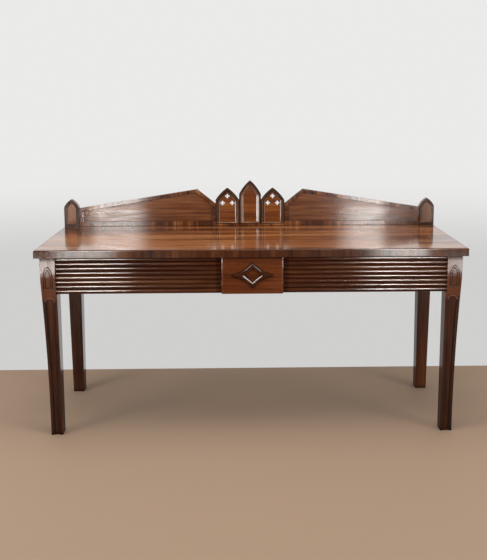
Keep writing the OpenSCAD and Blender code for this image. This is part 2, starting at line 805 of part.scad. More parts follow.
top_board();
top_front_lipping();
top_end_lipping(-1);  // top_left_lipping
top_end_lipping(1);  // top_right_lipping
front_rail();
back_rail();
end_rail(-1);  // left_rail
end_rail(1);  // right_rail
front_leg(-1);  // front_left_leg
front_leg(1);  // front_right_leg
rear_leg(-1);  // rear_left_leg
rear_leg(1);  // rear_right_leg
reeded_panel(-1);  // left_reeded_panel
reeded_panel(1);  // right_reeded_panel
centre_tablet();
lozenge();
bearer(-1);  // left_bearer
bearer(0);  // middle_bearer
bearer(1);  // right_bearer
brace(-1, false);  // front_left_brace
brace(1, false);  // front_right_brace
brace(-1, true);  // rear_left_brace
brace(1, true);  // rear_right_brace
glue_block(-1, false);  // front_left_glue_block
glue_block(1, false);  // front_right_glue_block
glue_block(-1, true);  // rear_left_glue_block
glue_block(1, true);  // rear_right_glue_block
post(-1);  // left_post
post(1);  // right_post
gallery_board(-1);  // left_gallery_board
gallery_board(1);  // right_gallery_board
long_capping(-1);  // left_long_capping
long_capping(1);  // right_long_capping
short_capping(-1);  // left_short_capping
short_capping(1);  // right_short_capping
base_band(-1);  // left_base_band
base_band(1);  // right_base_band
inner_band(-1);  // left_inner_band
inner_band(1);  // right_inner_band
outer_band(-1);  // left_outer_band
outer_band(1);  // right_outer_band
centre_arch();
centre_arch_panel();
side_arch(-1);  // left_arch
side_arch_panel(-1);  // left_arch_panel
side_arch(1);  // right_arch
side_arch_panel(1);  // right_arch_panel
arcade_plinth();
gallery_dowels();
top_screws();
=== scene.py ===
"""Polished wooden serving table with a galleried back, dressed over its solids in metres."""

import math

import bmesh
import bpy
from mathutils import Matrix, Vector


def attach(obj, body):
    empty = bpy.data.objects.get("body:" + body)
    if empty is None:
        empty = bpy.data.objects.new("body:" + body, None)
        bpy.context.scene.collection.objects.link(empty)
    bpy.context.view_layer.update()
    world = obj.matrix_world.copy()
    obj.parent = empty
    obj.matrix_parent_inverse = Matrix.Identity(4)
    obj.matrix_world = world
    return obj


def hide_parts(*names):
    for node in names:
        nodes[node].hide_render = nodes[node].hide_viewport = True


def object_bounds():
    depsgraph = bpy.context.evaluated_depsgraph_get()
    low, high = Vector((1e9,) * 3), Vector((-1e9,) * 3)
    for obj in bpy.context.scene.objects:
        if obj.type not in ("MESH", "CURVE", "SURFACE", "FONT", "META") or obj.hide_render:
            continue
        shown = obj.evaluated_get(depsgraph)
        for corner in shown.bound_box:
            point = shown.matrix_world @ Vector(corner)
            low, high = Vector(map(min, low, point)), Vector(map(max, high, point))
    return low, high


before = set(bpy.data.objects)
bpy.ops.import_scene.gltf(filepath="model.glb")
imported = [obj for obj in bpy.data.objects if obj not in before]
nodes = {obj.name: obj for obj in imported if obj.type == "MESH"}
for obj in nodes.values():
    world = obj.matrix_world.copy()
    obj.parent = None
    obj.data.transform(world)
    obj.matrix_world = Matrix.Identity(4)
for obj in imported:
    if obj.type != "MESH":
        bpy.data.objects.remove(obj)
cad_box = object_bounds()

# Camera, fitted to the photograph's frame of 487 by 560 pixels
IMAGE_W = 487
IMAGE_H = 560
FOCAL_PX = 785
SENSOR_MM = 36
AXIS_COLUMN = 255.88
AXIS_ROW = 203
CAMERA_AT = (-0.0675, -3.8824, 1.5951)
CAMERA_YAW = 0.0236
CAMERA_TILT = 0.135
CAMERA_ROLL = 0.0014

# Grain directions, as the turn that lays each one along the pattern's X axis
GRAIN = {"x": (0, 0, 0), "y": (0, 0, -math.pi / 2), "z": (0, math.pi / 2, 0)}

# Angles between faces: over the first is an arris, over the second stays sharp, under the third is flat
ARRIS_ANGLE = math.radians(28)
CORNER_ANGLE = math.radians(60)
FLAT_ANGLE = math.radians(0.4)


def tint(code):
    """Linear colour of a hex code."""
    parts = [int(code[k:k + 2], 16) / 255 for k in (1, 3, 5)]
    return [c / 12.92 if c <= 0.04045 else ((c + 0.055) / 1.055) ** 2.4 for c in parts] + [1]


class Value:
    """A shader value. Arithmetic on it adds Math nodes to its material."""

    def __init__(self, finish, socket):
        self.finish = finish
        self.socket = socket

    def math(self, operation, first, second):
        """Value that an operation on two others gives."""
        node = self.finish.node("ShaderNodeMath", {"operation": operation}, {0: first, 1: second})
        return Value(self.finish, node.outputs[0])

    def __add__(self, other):
        return self.math("ADD", self, other)

    def __sub__(self, other):
        return self.math("SUBTRACT", self, other)

    def __rsub__(self, other):
        return self.math("SUBTRACT", other, self)

    def __mul__(self, other):
        return self.math("MULTIPLY", self, other)

    __radd__ = __add__
    __rmul__ = __mul__

    def __abs__(self):
        return self.math("ABSOLUTE", self, 0)

    def between(self, low, high):
        """0 below low, 1 above high, smooth between."""
        node = self.finish.node("ShaderNodeMapRange", {"interpolation_type": "SMOOTHSTEP"},
                                {"Value": self, "From Min": low, "From Max": high})
        return Value(self.finish, node.outputs["Result"])


class Finish:
    """The nodes of a new material, or of another owner of nodes."""

    def __init__(self, name, owner=None):
        self.owner = owner or bpy.data.materials.new(name)
        self.owner.use_nodes = True
        self.tree = self.owner.node_tree
        self.tree.nodes.clear()

    def node(self, kind, settings=None, sockets=None):
        """A node of one kind: its settings first, then its sockets' values or links."""
        node = self.tree.nodes.new(kind)
        for key, value in (settings or {}).items():
            if key == "stops":
                for stop, (place, colour) in zip(ramp_stops(node, len(value)), value):
                    stop.position = place
                    stop.color = colour
            else:
                setattr(node, key, value)
        for key, value in (sockets or {}).items():
            if isinstance(value, Value):
                value = value.socket
            if isinstance(value, bpy.types.NodeSocket):
                self.tree.links.new(value, node.inputs[key])
            else:
                node.inputs[key].default_value = value
        return node

    def noise(self, vector, scale, detail=2.0, roughness=0.5):
        """Noise from 0 to 1."""
        node = self.node("ShaderNodeTexNoise", {},
                         {"Vector": vector, "Scale": scale, "Detail": detail, "Roughness": roughness})
        return Value(self, node.outputs["Fac"])

    def grain(self, vector, pattern):
        """Noise drawn out along the grain."""
        stretch, scale, detail, roughness = pattern
        return self.noise(self.vector("MULTIPLY", vector, (stretch, 1, 1)), scale, detail, roughness)

    def blend(self, factor, first, second):
        """Colour between first and second."""
        node = self.node("ShaderNodeMix", {"data_type": "RGBA"}, {0: factor, 6: first, 7: second})
        return node.outputs[2]

    def vector(self, operation, first, second):
        """Vector that an operation on two others gives."""
        node = self.node("ShaderNodeVectorMath", {"operation": operation}, {0: first, 1: second})
        return node.outputs[0]

    def surface(self, shader):
        """The material, with a shader as its surface."""
        self.node("ShaderNodeOutputMaterial", {}, {"Surface": shader.outputs[0]})
        return self.owner


def ramp_stops(node, count):
    """The stops of a colour ramp, brought up to a number."""
    stops = node.color_ramp.elements
    while len(stops) < count:
        stops.new(1)
    return stops


# Polish of a finish, where the finish doesn't say otherwise
LOOK = {
    "veins": 0.5,  # strength of the dark veins
    "figure": 0.45,  # strength of the broad figure
    "contrast": 1,  # steepness from tone to tone
    "gloss": 0.12,  # roughness of the wood under its polish
    "coat": 0.8,  # weight of the polish
    "blur": 0.05,  # roughness of the polish
    "wear": 0.5,  # how far the polish is worn through in streaks
    "index": 1.5,  # refractive index of the polish
    "brush": 0.25,  # height of the brushed lines
    "ripple": 0.1,  # height of the slow ripples
    "wax": (0.014, 0.75),  # reach of the painted shade from a corner, and its darkness
    "middle": 0,  # half width of the frieze's middle, where the reeds get the tablet's painted shadow
    "shade": None,  # two heights between which painted shadow sets in under the top
    "warm": None,  # another tone, and the heights at which it starts, is full, fades and ends
}

# Patterns in the grain: stretch along it, scale, detail, roughness
BROAD = (0.06, 11, 3, 0.5)
STREAK = (0.045, 62, 4, 0.6)
FINE = (0.03, 260, 3, 0.6)
PORES = (0.05, 1500, 1, 0.5)
VEIN = (0.03, 38, 5, 0.62)
WORN = (0.06, 130, 4, 0.65)
SAWN = (0.05, 90, 5, 0.65)

# Patterns without a direction: scale, detail, roughness
HANDLED = (5, 4, 0.6)
RIPPLE = (22, 2, 0.5)
STAIN = (6, 4, 0.5)
RUST = (300, 4, 0.6)

# Between which values of its pattern each mark sets in
PORE_RANGE = (0.6, 0.72)
VEIN_RANGE = (0.56, 0.68)
WORN_RANGE = (0.35, 0.62)
HANDLED_RANGE = (0.35, 0.7)
CLEAR_RANGE = (0.6, 0.97)
RUST_RANGE = (0.45, 0.65)

# Mean of the patterns, what streaks and fine lines add to the tone, and where on the ramp the tones lie
MEAN = 0.5
STREAK_WEIGHT = 0.4
FINE_WEIGHT = 0.25
TONE_MIDDLE = 0.49
TONE_SPREAD = 0.1

# Relief: its strength and depth and the pores' share. Roughness: what handling and fine lines add
RELIEF = 0.35
RELIEF_DEPTH = 0.0006
PORE_DEPTH = -0.2
HANDLED_ROUGH = 0.1
FINE_ROUGH = 0.05

# Strength of the dark in pores, rays that look for a corner, polish left under the painted shade, soft
# edge of the tablet's painted shadow
PORE_STRENGTH = 0.45
CORNER_RAYS = 6
SHADED_POLISH = 0.2
TABLET_SHADOW_EDGE = 0.008

# How much the grain sways across its length
SWAY = 0.012
SWAY_STRETCH = (0.7, 2.2, 2.2)
SWAY_SCALE = 1.6

# Dark of pores and of the painted shade, strength of the warmer tone, and shine of the wood under its
# polish
PORE_TINT = "#1c0c06"
CORNER_SHADE_TINT = "#120704"
WARM_STRENGTH = 0.6
SPECULAR = 0.12

# Unpolished wood: shares of streaks and stains in its tone, the ramp's start and step, relief, roughness
SAWN_SHARE = 0.7
STAIN_SHARE = 0.3
PLAIN_START = 0.3
PLAIN_STEP = 0.2
SAWN_RELIEF = 0.4
SAWN_DEPTH = 0.0008
PLAIN_ROUGH = 0.6
SAWN_ROUGH = 0.25

# Iron: its tint and that of its rust, its share of metal, its roughness and what rust adds
IRON_TINT = "#5d5a57"
RUST_TINT = "#5a3a28"
IRON_METAL = 0.8
IRON_ROUGH = 0.45
RUST_ROUGH = 0.3


def polished_wood(name, grain, tones, offset, **own):
    """French-polished wood with its grain along one axis, and painted shade where other faces are near.
    tones run from dark to pale.
    """
    look = {**LOOK, **own}
    f = Finish(name)
    place = f.node("ShaderNodeTexCoord").outputs["Object"]
    lie = f.node("ShaderNodeMapping", {}, {
        "Vector": place, "Rotation": GRAIN[grain], "Location": offset}).outputs[0]
    sway = f.node("ShaderNodeTexNoise", {}, {
        "Vector": f.vector("MULTIPLY", lie, SWAY_STRETCH), "Scale": SWAY_SCALE})
    bent = f.vector("ADD", lie, f.vector("MULTIPLY", sway.outputs["Color"], (0, SWAY, SWAY)))
    broad = f.grain(bent, BROAD)
    streak = f.grain(bent, STREAK)
    fine = f.grain(bent, FINE)
    pores = f.grain(bent, PORES).between(*PORE_RANGE)
    lines = (streak - MEAN) * STREAK_WEIGHT
    hairs = (fine - MEAN) * FINE_WEIGHT
    tone = (broad - MEAN) * look["figure"] + lines + hairs + MEAN
    spread = TONE_SPREAD / look["contrast"]
    stops = [(TONE_MIDDLE + (k - 1.5) * spread, tint(code)) for k, code in enumerate(tones)]
    colour = f.node("ShaderNodeValToRGB", {"stops": stops}, {"Fac": tone}).outputs[0]
    vein = f.grain(bent, VEIN).between(*VEIN_RANGE)
    colour = f.blend(vein * look["veins"], colour, tint(tones[0]))
    colour = f.blend(pores * PORE_STRENGTH, colour, tint(PORE_TINT))
    where = f.node("ShaderNodeSeparateXYZ", {}, {0: place}).outputs
    if look["warm"]:
        code, start, full, fade, end = look["warm"]
        rise = Value(f, where["Z"])
        warmth = rise.between(start, full) * (1 - rise.between(fade, end)) * WARM_STRENGTH
        colour = f.blend(warmth, colour, tint(code))
    handled = f.noise(lie, *HANDLED).between(*HANDLED_RANGE)
    rough = handled * HANDLED_ROUGH + fine * FINE_ROUGH + look["gloss"]
    height = pores * PORE_DEPTH + fine * look["brush"] + f.noise(lie, *RIPPLE) * look["ripple"]
    bump = f.node("ShaderNodeBump", {}, {
        "Strength": RELIEF, "Distance": RELIEF_DEPTH, "Height": height})
    worn = f.grain(bent, WORN).between(*WORN_RANGE)
    # Painted shade: the colour darkens and the polish thins where other faces are near, in corners,
    # hollows and joints
    reach, shade_darkness = look["wax"]
    occlusion = f.node("ShaderNodeAmbientOcclusion", {"samples": CORNER_RAYS}, {"Distance": reach})
    clear = Value(f, occlusion.outputs["AO"]).between(*CLEAR_RANGE)
    # Painted shadow of the tablet on the reeds beside it
    middle = look["middle"]
    if middle:
        clear = clear * abs(Value(f, where["X"])).between(middle, middle + TABLET_SHADOW_EDGE)
    # Painted shadow on the reeds under the top's edge
    if look["shade"]:
        clear = clear * (1 - Value(f, where["Z"]).between(*look["shade"]))
    colour = f.blend((1 - clear) * shade_darkness, colour, tint(CORNER_SHADE_TINT))
    wear = look["wear"]
    polish = (worn * wear + (1 - wear)) * look["coat"] * (SHADED_POLISH + clear * (1 - SHADED_POLISH))
    shader = f.node("ShaderNodeBsdfPrincipled", {}, {
        "Base Color": colour, "Roughness": rough, "Normal": bump.outputs[0],
        "Specular IOR Level": SPECULAR, "Coat Weight": polish, "Coat Roughness": look["blur"],
        "Coat IOR": look["index"]})
    return f.surface(shader)


def plain_wood(name, grain, tones):
    """Sawn secondary wood, dry and unpolished."""
    f = Finish(name)
    place = f.node("ShaderNodeTexCoord").outputs["Object"]
    lie = f.node("ShaderNodeMapping", {}, {"Vector": place, "Rotation": GRAIN[grain]}).outputs[0]
    streak = f.grain(lie, SAWN)
    tone = streak * SAWN_SHARE + f.noise(lie, *STAIN) * STAIN_SHARE
    stops = [(PLAIN_START + PLAIN_STEP * k, tint(code)) for k, code in enumerate(tones)]
    colour = f.node("ShaderNodeValToRGB", {"stops": stops}, {"Fac": tone}).outputs[0]
    bump = f.node("ShaderNodeBump", {}, {
        "Strength": SAWN_RELIEF, "Distance": SAWN_DEPTH, "Height": streak})
    rough = PLAIN_ROUGH + streak * SAWN_ROUGH
    shader = f.node("ShaderNodeBsdfPrincipled", {}, {
        "Base Color": colour, "Roughness": rough, "Normal": bump.outputs[0]})
    return f.surface(shader)


def dull_iron(name):
    """Old iron with some rust."""
    f = Finish(name)
    place = f.node("ShaderNodeTexCoord").outputs["Object"]
    rust = f.noise(place, *RUST)
    colour = f.blend(rust.between(*RUST_RANGE), tint(IRON_TINT), tint(RUST_TINT))
    rough = IRON_ROUGH + rust * RUST_ROUGH
    shader = f.node("ShaderNodeBsdfPrincipled", {}, {
        "Base Color": colour, "Metallic": IRON_METAL, "Roughness": rough})
    return f.surface(shader)


# Tones of the polished wood, dark to pale
TOP_TONES = ("#3c1c0e", "#6e3e20", "#88512c", "#a26c40")
BOARD_TONES = ("#381a0c", "#582f15", "#6e3e1e", "#86532e")
PANEL_TONES = ("#401d0c", "#613214", "#783f19", "#8d5624")
TABLET_TONES = ("#46200d", "#683418", "#793e1c", "#8c4c25")
LEG_TONES = ("#1c0b04", "#3d1c0b", "#50270f", "#663717")
BAND_TONES = ("#24100a", "#46230f", "#65361a", "#966037")
EDGE_TONES = ("#2a130a", "#4a2713", "#5c331b", "#744626")
ARRIS_TONES = ("#2c140b", "#4c2a17", "#603820", "#784c2e")
RIM_TONES = ("#170b06", "#2c170c", "#381e11", "#482817")
FRAME_TONES = ("#1c0e08", "#3a1e10", "#462614", "#52301c")
# Reveal and splay tones are paler than the rest: partly the wood's own tone, partly painted light on
# these slanted faces
REVEAL_LIT_TONES = ("#54331f", "#75503a", "#866049", "#9a765e")
SPLAY_LIT_TONES = ("#4a2c1c", "#64422e", "#755039", "#8a654e")
# The near-black groove tones are painted shade in the legs' grooves and ledges
GROOVE_SHADE_TONES = ("#0e0603", "#160a05", "#1e0e07", "#28140a")
REED_TONES = ("#2c150d", "#482413", "#5a2f18", "#704322")

# Tones of the unpolished wood
PLAIN_TONES = ("#7a5432", "#96703f", "#b08a58")

# Painted shade in corners and hollows: its reach and its darkness
CARVED_CORNER_SHADE = (0.005, 0.6)
BAND_CORNER_SHADE = (0.004, 0.9)
PANEL_CORNER_SHADE = (0.006, 0.6)
REED_CORNER_SHADE = (0.008, 0.4)
LEG_CORNER_SHADE = (0.02, 0.75)
GROOVE_CORNER_SHADE = (0.003, 0.4)

# Warmer tone of the leg heads, painted highlight on the ledges in their carving, and the heights of each
HEAD_TONE = "#7a4122"
HEAD_HEIGHTS = (0.652, 0.68, 0.9, 1)
LEDGE_HIGHLIGHT_TONE = "#b48c76"
LEDGE_HIGHLIGHT_HEIGHTS = (0.65, 0.653, 0.712, 0.716)

# Painted shadows on the reeds: beside the tablet, and under the top
TABLET_SHADOW_START = 0.164
UNDER_TOP_SHADOW = (0.8565, 0.8585)

# Finishes: name, grain direction, tones, place in the pattern, then what differs from LOOK
FINISHES = {
    "top": polished_wood(
        "polished_top", "x", TOP_TONES, (0, 0.3, 0.1),
        figure=0.75, contrast=1.4, gloss=0.08, coat=1, blur=0.09, brush=1.6, ripple=0.05),
    "board": polished_wood(
        "polished_board", "x", BOARD_TONES, (3, 1, 0),
        contrast=1.3, gloss=0.1, coat=0.9, wear=0.65, brush=0.1, ripple=0.04),
    "panel": polished_wood(
        "polished_panel", "x", PANEL_TONES, (3, 5, 0),
        contrast=1.2, coat=0.6, wax=PANEL_CORNER_SHADE),
    "tablet": polished_wood(
        "polished_tablet", "x", TABLET_TONES, (7, 2, 0),
        veins=0.4, contrast=1.2, coat=0.6),
    "reeds": polished_wood(
        "polished_reeds", "x", REED_TONES, (1, 4, 0),
        gloss=0.1, brush=0.1, ripple=0.03, wax=REED_CORNER_SHADE, middle=TABLET_SHADOW_START, shade=UNDER_TOP_SHADOW),
    "rail": polished_wood("polished_rail", "x", LEG_TONES, (5, 6, 0), gloss=0.15, coat=0.5),
    "end_rail": polished_wood("polished_end_rail", "y", BOARD_TONES, (2, 8, 0), coat=0.7),
    "leg": polished_wood(
        "polished_leg", "z", LEG_TONES, (4, 3, 5),
        veins=0.6, coat=0.45, wax=LEG_CORNER_SHADE, warm=(HEAD_TONE, *HEAD_HEIGHTS)),
    "post": polished_wood("polished_post", "z", BOARD_TONES, (9, 5, 1), veins=0.3, wax=CARVED_CORNER_SHADE),
    "rim": polished_wood("polished_rim", "z", RIM_TONES, (6, 7, 2), coat=0.1, wax=CARVED_CORNER_SHADE),
    "centre_rim": polished_wood(
        "polished_centre_rim", "z", RIM_TONES, (1, 7, 5), coat=0.1, wax=CARVED_CORNER_SHADE),
    # Reveals and splays: tones that carry painted light on the slanted faces
    "reveal": polished_wood("polished_reveal_painted_light", "z", REVEAL_LIT_TONES, (2, 7, 6), coat=0.3, wax=CARVED_CORNER_SHADE),
    "splay": polished_wood("polished_splay_painted_light", "z", SPLAY_LIT_TONES, (7, 7, 3), coat=0.7, wax=CARVED_CORNER_SHADE),
    "lozenge": polished_wood("polished_lozenge", "x", FRAME_TONES, (5, 2, 7), coat=0.1),
    # Grooves: painted shade, with a painted highlight on the ledges at the lancet's foot and the
    # channel's head
    "groove": polished_wood(
        "waxed_groove", "z", GROOVE_SHADE_TONES, (3, 3, 8),
        gloss=0.5, coat=0.0, wax=GROOVE_CORNER_SHADE, warm=(LEDGE_HIGHLIGHT_TONE, *LEDGE_HIGHLIGHT_HEIGHTS)),
    "edge": polished_wood("cross_grained_edge", "z", EDGE_TONES, (4, 6, 2), gloss=0.1),
    "arris": polished_wood("rubbed_arris", "x", ARRIS_TONES, (6, 2, 1), gloss=0.1, coat=1),
    "band": polished_wood(
        "cross_grained_band", "z", BAND_TONES, (8, 1, 4),
        veins=0.8, contrast=1.3, gloss=0.1, coat=1, wear=0.4, index=1.75, wax=BAND_CORNER_SHADE),
    "foot_band": polished_wood(
        "cross_grained_foot_band", "z", BAND_TONES, (2, 1, 8),
        veins=0.6, contrast=1.1, gloss=0.1, coat=0.75, wear=0.15, brush=0.1, ripple=0.04, wax=BAND_CORNER_SHADE),
    "end_edge": polished_wood("cross_grained_end_edge", "z", EDGE_TONES, (1, 3, 7), gloss=0.1),
    "end_band": polished_wood(
        "cross_grained_end_band", "x", BAND_TONES, (1, 9, 3),
        veins=0.3, gloss=0.1, coat=1, index=1.75, wax=BAND_CORNER_SHADE),
    "plain_x": plain_wood("plain_wood_long", "x", PLAIN_TONES),
    "plain_y": plain_wood("plain_wood_across", "y", PLAIN_TONES),
    "iron": dull_iron("screw_iron"),
}

# Words in the names of nodes, and the finish of a node for the first row that fits
FINISH_WORDS = (
    (("top_board",), "top"),
    (("front_lipping",), "edge"),
    (("lipping",), "end_edge"),
    (("base_band", "plinth"), "foot_band"),
    (("capping",), "band"),
    (("inner_band", "outer_band"), "end_band"),
    (("reeded",), "reeds"),
    (("lozenge",), "lozenge"),
    (("tablet",), "tablet"),
    (("arch_panel",), "panel"),
    (("gallery_board",), "board"),
    (("centre_arch",), "centre_rim"),
    (("arch",), "rim"),
    (("post",), "post"),
    (("leg",), "leg"),
    (("back_rail",), "rail"),
    (("left_rail", "right_rail"), "end_rail"),
    (("front_rail", "brace", "glue_block", "dowels"), "plain_x"),
    (("bearer",), "plain_y"),
    (("screws",), "iron"),
)

# Nodes that no view shows
HIDDEN = ("gallery_dowels", "top_screws")

# Faces that look straight or aslant to the front
FRONT_FACING = -0.95
SLANTED = -0.2

# Ease of the top's upper arris, and how near to the outline of the table that arris lies
EASED = 0.0045
EASED_SEGMENTS = 5
RIM = 0.001

# Slopes of the two faces at that arris: one looks out and stands upright, the other looks up
OUTWARD = 0.3
UPRIGHT = 0.1
LEVEL = 0.9

# Radii to which other arrises are rubbed: those of the top and the tablet, of carved pieces, of the rest
TOP_ARRIS = 0.0018
CARVED_ARRIS = 0.0004
PLAIN_ARRIS = 0.0008
ARRIS_SEGMENTS = 2

# How far large faces lead the normals at an arris
LARGE_FACES = 100

# Points nearer than this are one, and depths this near to a step count as on it
WELD = 2e-6
STEP_SLACK = 1e-5

# Carved pieces: how far behind the front each shade lies, then the shade of slanted faces
SHADES = {
    "leg": ((0, "leg"), (0.0018, "groove"), (0.004, "leg"), "leg"),
    "post": ((0, "rim"), (0.005, "post"), "reveal"),
    "rim": ((0, "rim"), "reveal"),
    "centre_rim": ((0, "centre_rim"), "splay"),
    "lozenge": ((0, "lozenge"), "tablet"),
}


def finish_of(name):
    """Which finish a node has."""
    return next(finish for words, finish in FINISH_WORDS if any(word in name for word in words))


def sunk_depth(face, fronts):
    """How far a face lies behind the foremost of the front faces at its height."""
    at = face.calc_center_median()
    depths = []
    for front in fronts:
        heights = [v.co.z for v in front.verts]
        if min(heights) <= at.z <= max(heights):
            depths.append((front.calc_center_median() - at).dot(front.normal))
    return max(depths)


def shade_carving(bm, shades, slots):
    """Gives a carved piece's front faces their shades by depth, and its slanted reveals their own."""
    *levels, slanted = shades
    fronts = [f for f in bm.faces if f.normal.y < FRONT_FACING]
    corners = [v.co for v in bm.verts]
    middle = (Vector(map(min, zip(*corners))) + Vector(map(max, zip(*corners)))) / 2
    for face in bm.faces:
        inward = (middle - face.calc_center_median()) * Vector((1, 0, 1))
        if FRONT_FACING <= face.normal.y < SLANTED and face.normal.dot(inward) > 0:
            face.material_index = slots.index(slanted)
    for face in fronts:
        depth = sunk_depth(face, fronts)
        shade = [name for start, name in levels if start <= depth + STEP_SLACK][-1]
        face.material_index = slots.index(shade)


def outer_arrises(bm):
    """Upper edges of the top's rim that a hand meets."""
    low, high = cad_box
    for edge in bm.edges:
        at = (edge.verts[0].co + edge.verts[1].co) / 2
        normals = [f.normal for f in edge.link_faces]
        out = any(n.dot((at.x, at.y, 0)) > OUTWARD and abs(n.z) < UPRIGHT for n in normals)
        up = any(n.z > LEVEL for n in normals)
        if out and up and (abs(at.x) > high[0] - RIM or at.y < low[1] + RIM):
            yield edge


def round_off(bm, edges, radius, segments):
    """Rounds edges and returns the faces that this makes."""
    made = bmesh.ops.bevel(bm, geom=edges, offset=radius, offset_type="OFFSET", affect="EDGES",
                           segments=segments, profile=0.5, material=-1, clamp_overlap=True)
    return made["faces"]


def arris_of(name):
    """Radius to which a node's arrises are rubbed."""
    if "top" in name or "tablet" in name:
        return TOP_ARRIS
    return CARVED_ARRIS if finish_of(name) in SHADES else PLAIN_ARRIS


def soften(name):
    """Puts a copy of a node, with its arrises rubbed round and its finish on, in its place."""
    finish = finish_of(name)
    shades = SHADES.get(finish)
    slots = [finish, "arris"] if "lipping" in name else [finish]
    if shades:
        slots += sorted({shades[-1], *(shade for _, shade in shades[:-1])} - {finish})
    bm = bmesh.new()
    bm.from_mesh(nodes[name].data)
    bmesh.ops.remove_doubles(bm, verts=bm.verts, dist=WELD)
    bmesh.ops.dissolve_limit(bm, angle_limit=FLAT_ANGLE, verts=bm.verts, edges=bm.edges)
    bm.normal_update()
    if shades:
        shade_carving(bm, shades, slots)
    if "lipping" in name:
        for face in round_off(bm, list(outer_arrises(bm)), EASED, EASED_SEGMENTS):
            face.material_index = slots.index("arris")
        bm.normal_update()
    arrises = [e for e in bm.edges if len(e.link_faces) == 2 and e.calc_face_angle() > ARRIS_ANGLE]
    round_off(bm, arrises, arris_of(name), ARRIS_SEGMENTS)
    mesh = bpy.data.meshes.new(name + "_softened")
    bm.to_mesh(mesh)
    bm.free()
    mesh.shade_smooth()
    mesh.set_sharp_from_angle(angle=CORNER_ANGLE)
    for slot in slots:
        mesh.materials.append(FINISHES[slot])
    piece = bpy.data.objects.new(name + "_softened", mesh)
    bpy.context.scene.collection.objects.link(piece)
    even = piece.modifiers.new("even_normals", "WEIGHTED_NORMAL")
    even.mode = "FACE_AREA"
    even.weight = LARGE_FACES
    even.keep_sharp = True
    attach(piece, "root")
    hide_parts(name)


for name, node in nodes.items():
    if name in HIDDEN:
        node.data.materials.clear()
        node.data.materials.append(FINISHES[finish_of(name)])
    else:
        soften(name)


# Stage: a floor that ends behind the table, and its tint as it is seen and as polish mirrors it
FLOOR = ((-9.0, -2.6), (9.0, 0.6))
FLOOR_TINT = "#9e836b"
FLOOR_MIRRORED = "#5a4a3c"
FLOOR_ROUGH = 0.75

# World: its light on the table, what polish mirrors of it, and what the camera sees of it
WORLD_COLOUR = (1, 0.995, 0.985, 1)
LIGHT_LOW = 0.17
LIGHT_RISE = 0.5
MIRROR_FRONT = 0.05
MIRROR_BACK = 0.77
MIRROR_DIM = 0.6
PALE_LOW = 0.63
PALE_RISE = 0.2

# Between which directions the world changes: to the back, upward, to the left, downward, at the horizon
BACK_RANGE = (-0.3, 0.5)
RISE_RANGE = (0.0, 0.8)
LEFT_RANGE = (-0.2, -0.08)
LOW_RANGE = (-0.1, 0)
HORIZON_RANGE = (-0.2, -0.1)

# Lamps: place, what they aim at, size, power
LAMPS = {
    "overhead": ((-0.2, -0.6, 2.9), (0, -0.1, 0.8), (2.8, 1.2), 50),
    "left_light": ((-3.4, -2.4, 1.7), (0, -0.2, 0.7), (1.2, 1.6), 48),
    "right_light": ((3.4, -2.4, 1.7), (0, -0.2, 0.7), (1.2, 1.6), 41),
}

# Cards that only polish mirrors: a span runs from its soft start over full and fade to its soft end
CARD_AXES = {"x": ("Y", "Z"), "y": ("X", "Z")}
CARD_COLOUR = (1, 0.97, 0.93, 1)
CARD_BLACK = (0, 0, 0, 1)

# Places of the cards: three rows in front of the table, and two on each side
NEAR_ROW = -3.95
MIDDLE_ROW = -3.96
FAR_ROW = -3.97
SIDE_ROW = 2.9
HIGH_ROW = 2.88

# Spans of the cards for the gallery, the reeds, the top's edge, the leg heads and the end posts
LEFT_GLOW_X = (-1.72, -1.55, -1.25, -1.0)
RIGHT_GLOW_X = (0.95, 1.3, 1.48, 1.6)
GLOW_Z = (0.2, 0.22, 0.58, 0.64)
UPPER_Z = (1.12, 1.25, 2.3, 3.0)
LEFT_BRIGHT_X = (-1.82, -1.68, -1.25, -1.0)
RIGHT_BRIGHT_X = (1.0, 1.35, 1.7, 1.9)
BRIGHT_Z = (0.64, 0.7, 1.08, 1.14)
LEFT_EDGE_X = (-1.84, -1.62, -1.35, -1.12)
RIGHT_EDGE_X = (1.05, 1.46, 1.62, 1.78)
EDGE_Z = (0.115, 0.12, 0.19, 0.2)
LEFT_LOW_X = (-2.02, -1.97, -1.72, -1.6)
LEFT_LOW_Z = (-0.33, 0.07, 0.085, 0.1)
RIGHT_LOW_X = (1.8, 1.88, 2.06, 2.14)
RIGHT_LOW_Z = (-0.35, 0.05, 0.08, 0.095)
LEFT_POST_X = (-2.05, -1.95, -1.75, -1.68)
RIGHT_POST_X = (1.85, 1.95, 2.05, 2.15)
POST_Z = (0.2, 0.25, 0.5, 0.6)

# Spans of the cards beside the table, for the middle arch's splays, the tablet and the lozenge
SPLAY_Y = (-1.15, -1.0, -0.55, -0.45)
SPLAY_Z = (0.92, 1.0, 1.35, 1.5)
TABLET_Y = (-1.4, -1.2, -0.6, -0.48)
TABLET_Z = (0.15, 0.22, 0.3, 0.4)
HIGH_Y = (-1.7, -1.5, -0.6, -0.4)
HIGH_Z = (2.6, 2.8, 3.9, 4.1)

